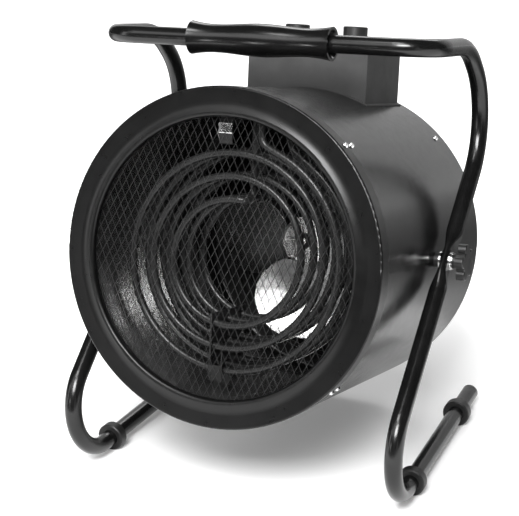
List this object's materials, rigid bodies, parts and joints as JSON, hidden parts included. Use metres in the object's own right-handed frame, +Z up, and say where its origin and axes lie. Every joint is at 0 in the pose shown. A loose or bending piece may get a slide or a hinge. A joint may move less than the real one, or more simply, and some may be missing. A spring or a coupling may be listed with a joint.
{
  "type": "forced air heater",
  "caption": "Drum-shaped electric fan heater that tilts in a bent tube stand, with a mesh outlet, spiral elements, a control box with turning knobs and a carrying handle.",
  "frame": {"origin": "on the floor under the middle of the heater's width and depth", "axes": "+Z up, -Y towards the air outlet, +X to the right of someone who faces the outlet side"},
  "size_m": [0.4236, 0.4164, 0.486],
  "materials": {
    "stand_paint": "gloss black powder coat",
    "drum_paint": "satin black powder coat",
    "bezel_paint": "satin black powder coat",
    "box_paint": "satin black powder coat",
    "grip_plastic": "polished black moulding",
    "knob_plastic": "dark grey moulding",
    "star_plastic": "black moulding",
    "foot_rubber": "black rubber",
    "grille_wire": "black coated expanded mesh",
    "guard_wire": "black coated wire",
    "liner_steel": "bright rolled sheet",
    "element_tube": "dark oxidised tube",
    "bright_steel": "bright zinc plate",
    "dark_steel": "black zinc plate",
    "fan_metal": "bright stamped sheet",
    "motor_steel": "black enamel",
    "inner_plastic": "cream moulding",
    "gland_plastic": "black nylon"
  },
  "bodies": {
    "stand": {"stand_tube_left": "stand_paint", "stand_tube_right": "stand_paint", "handle_sleeve": "bright_steel", "handle_grip": "grip_plastic", "foot_rings": "foot_rubber", "tube_end_plugs": "foot_rubber", "outer_washers": "bright_steel", "lock_washers": "bright_steel"},
    "heater": {"pivot_spacers": "dark_steel", "inner_washers": "bright_steel", "pivot_nuts": "bright_steel", "casing_shell": "drum_paint", "front_bezel": "bezel_paint", "rear_ring": "drum_paint", "front_grille": "grille_wire", "rear_guard": "guard_wire", "inner_liner": "liner_steel", "liner_spacers": "bright_steel", "bezel_screws": "bright_steel", "liner_screws": "bright_steel", "rear_screws": "bright_steel", "heating_element_front": "element_tube", "heating_element_middle": "element_tube", "heating_element_rear": "element_tube", "element_comb": "liner_steel", "element_bushings": "bright_steel", "terminal_studs": "bright_steel", "motor_housing": "motor_steel", "motor_bearings": "bright_steel", "motor_bracket": "dark_steel", "motor_screws": "bright_steel", "box_base": "box_paint", "control_box": "box_paint", "box_screws": "bright_steel", "cable_gland": "gland_plastic", "gland_nut": "gland_plastic", "rotary_switch": "inner_plastic", "thermostat_body": "inner_plastic", "thermostat_bulb": "bright_steel", "thermal_cutout": "inner_plastic", "terminal_block": "inner_plastic"},
    "fan": {"motor_shaft": "bright_steel", "fan_hub": "dark_steel", "fan_blades": "fan_metal"},
    "mode_knob": {"mode_knob": "knob_plastic"},
    "thermostat_knob": {"thermostat_knob": "knob_plastic"},
    "tilt_knob_left": {"tilt_knob_left": "star_plastic"},
    "tilt_knob_right": {"tilt_knob_right": "star_plastic"}
  },
  "joints": [
    {"name": "heater_tilt", "type": "hinge", "parent": "stand", "child": "heater", "pos_m": [0, 0.0032, 0.2284], "axis": [1, 0, 0], "range_deg": [-10, 25]},
    {"name": "fan_spin", "type": "hinge", "parent": "heater", "child": "fan", "pos_m": [0, 0.05768, 0.21542], "axis": [0, -0.9728, 0.2317], "continuous": true},
    {"name": "mode_turn", "type": "hinge", "parent": "heater", "child": "mode_knob", "pos_m": [-0.0357, 0.13928, 0.42419], "axis": [0, 0.2317, 0.9728], "range_deg": [-135, 0]},
    {"name": "thermostat_turn", "type": "hinge", "parent": "heater", "child": "thermostat_knob", "pos_m": [0.0357, 0.13928, 0.42419], "axis": [0, 0.2317, 0.9728], "range_deg": [-270, 0]},
    {"name": "tilt_knob_left_turn", "type": "hinge", "parent": "heater", "child": "tilt_knob_left", "pos_m": [-0.2055, 0.0032, 0.2284], "axis": [-1, 0, 0], "continuous": true},
    {"name": "tilt_knob_right_turn", "type": "hinge", "parent": "heater", "child": "tilt_knob_right", "pos_m": [0.2055, 0.0032, 0.2284], "axis": [1, 0, 0], "continuous": true}
  ]
}
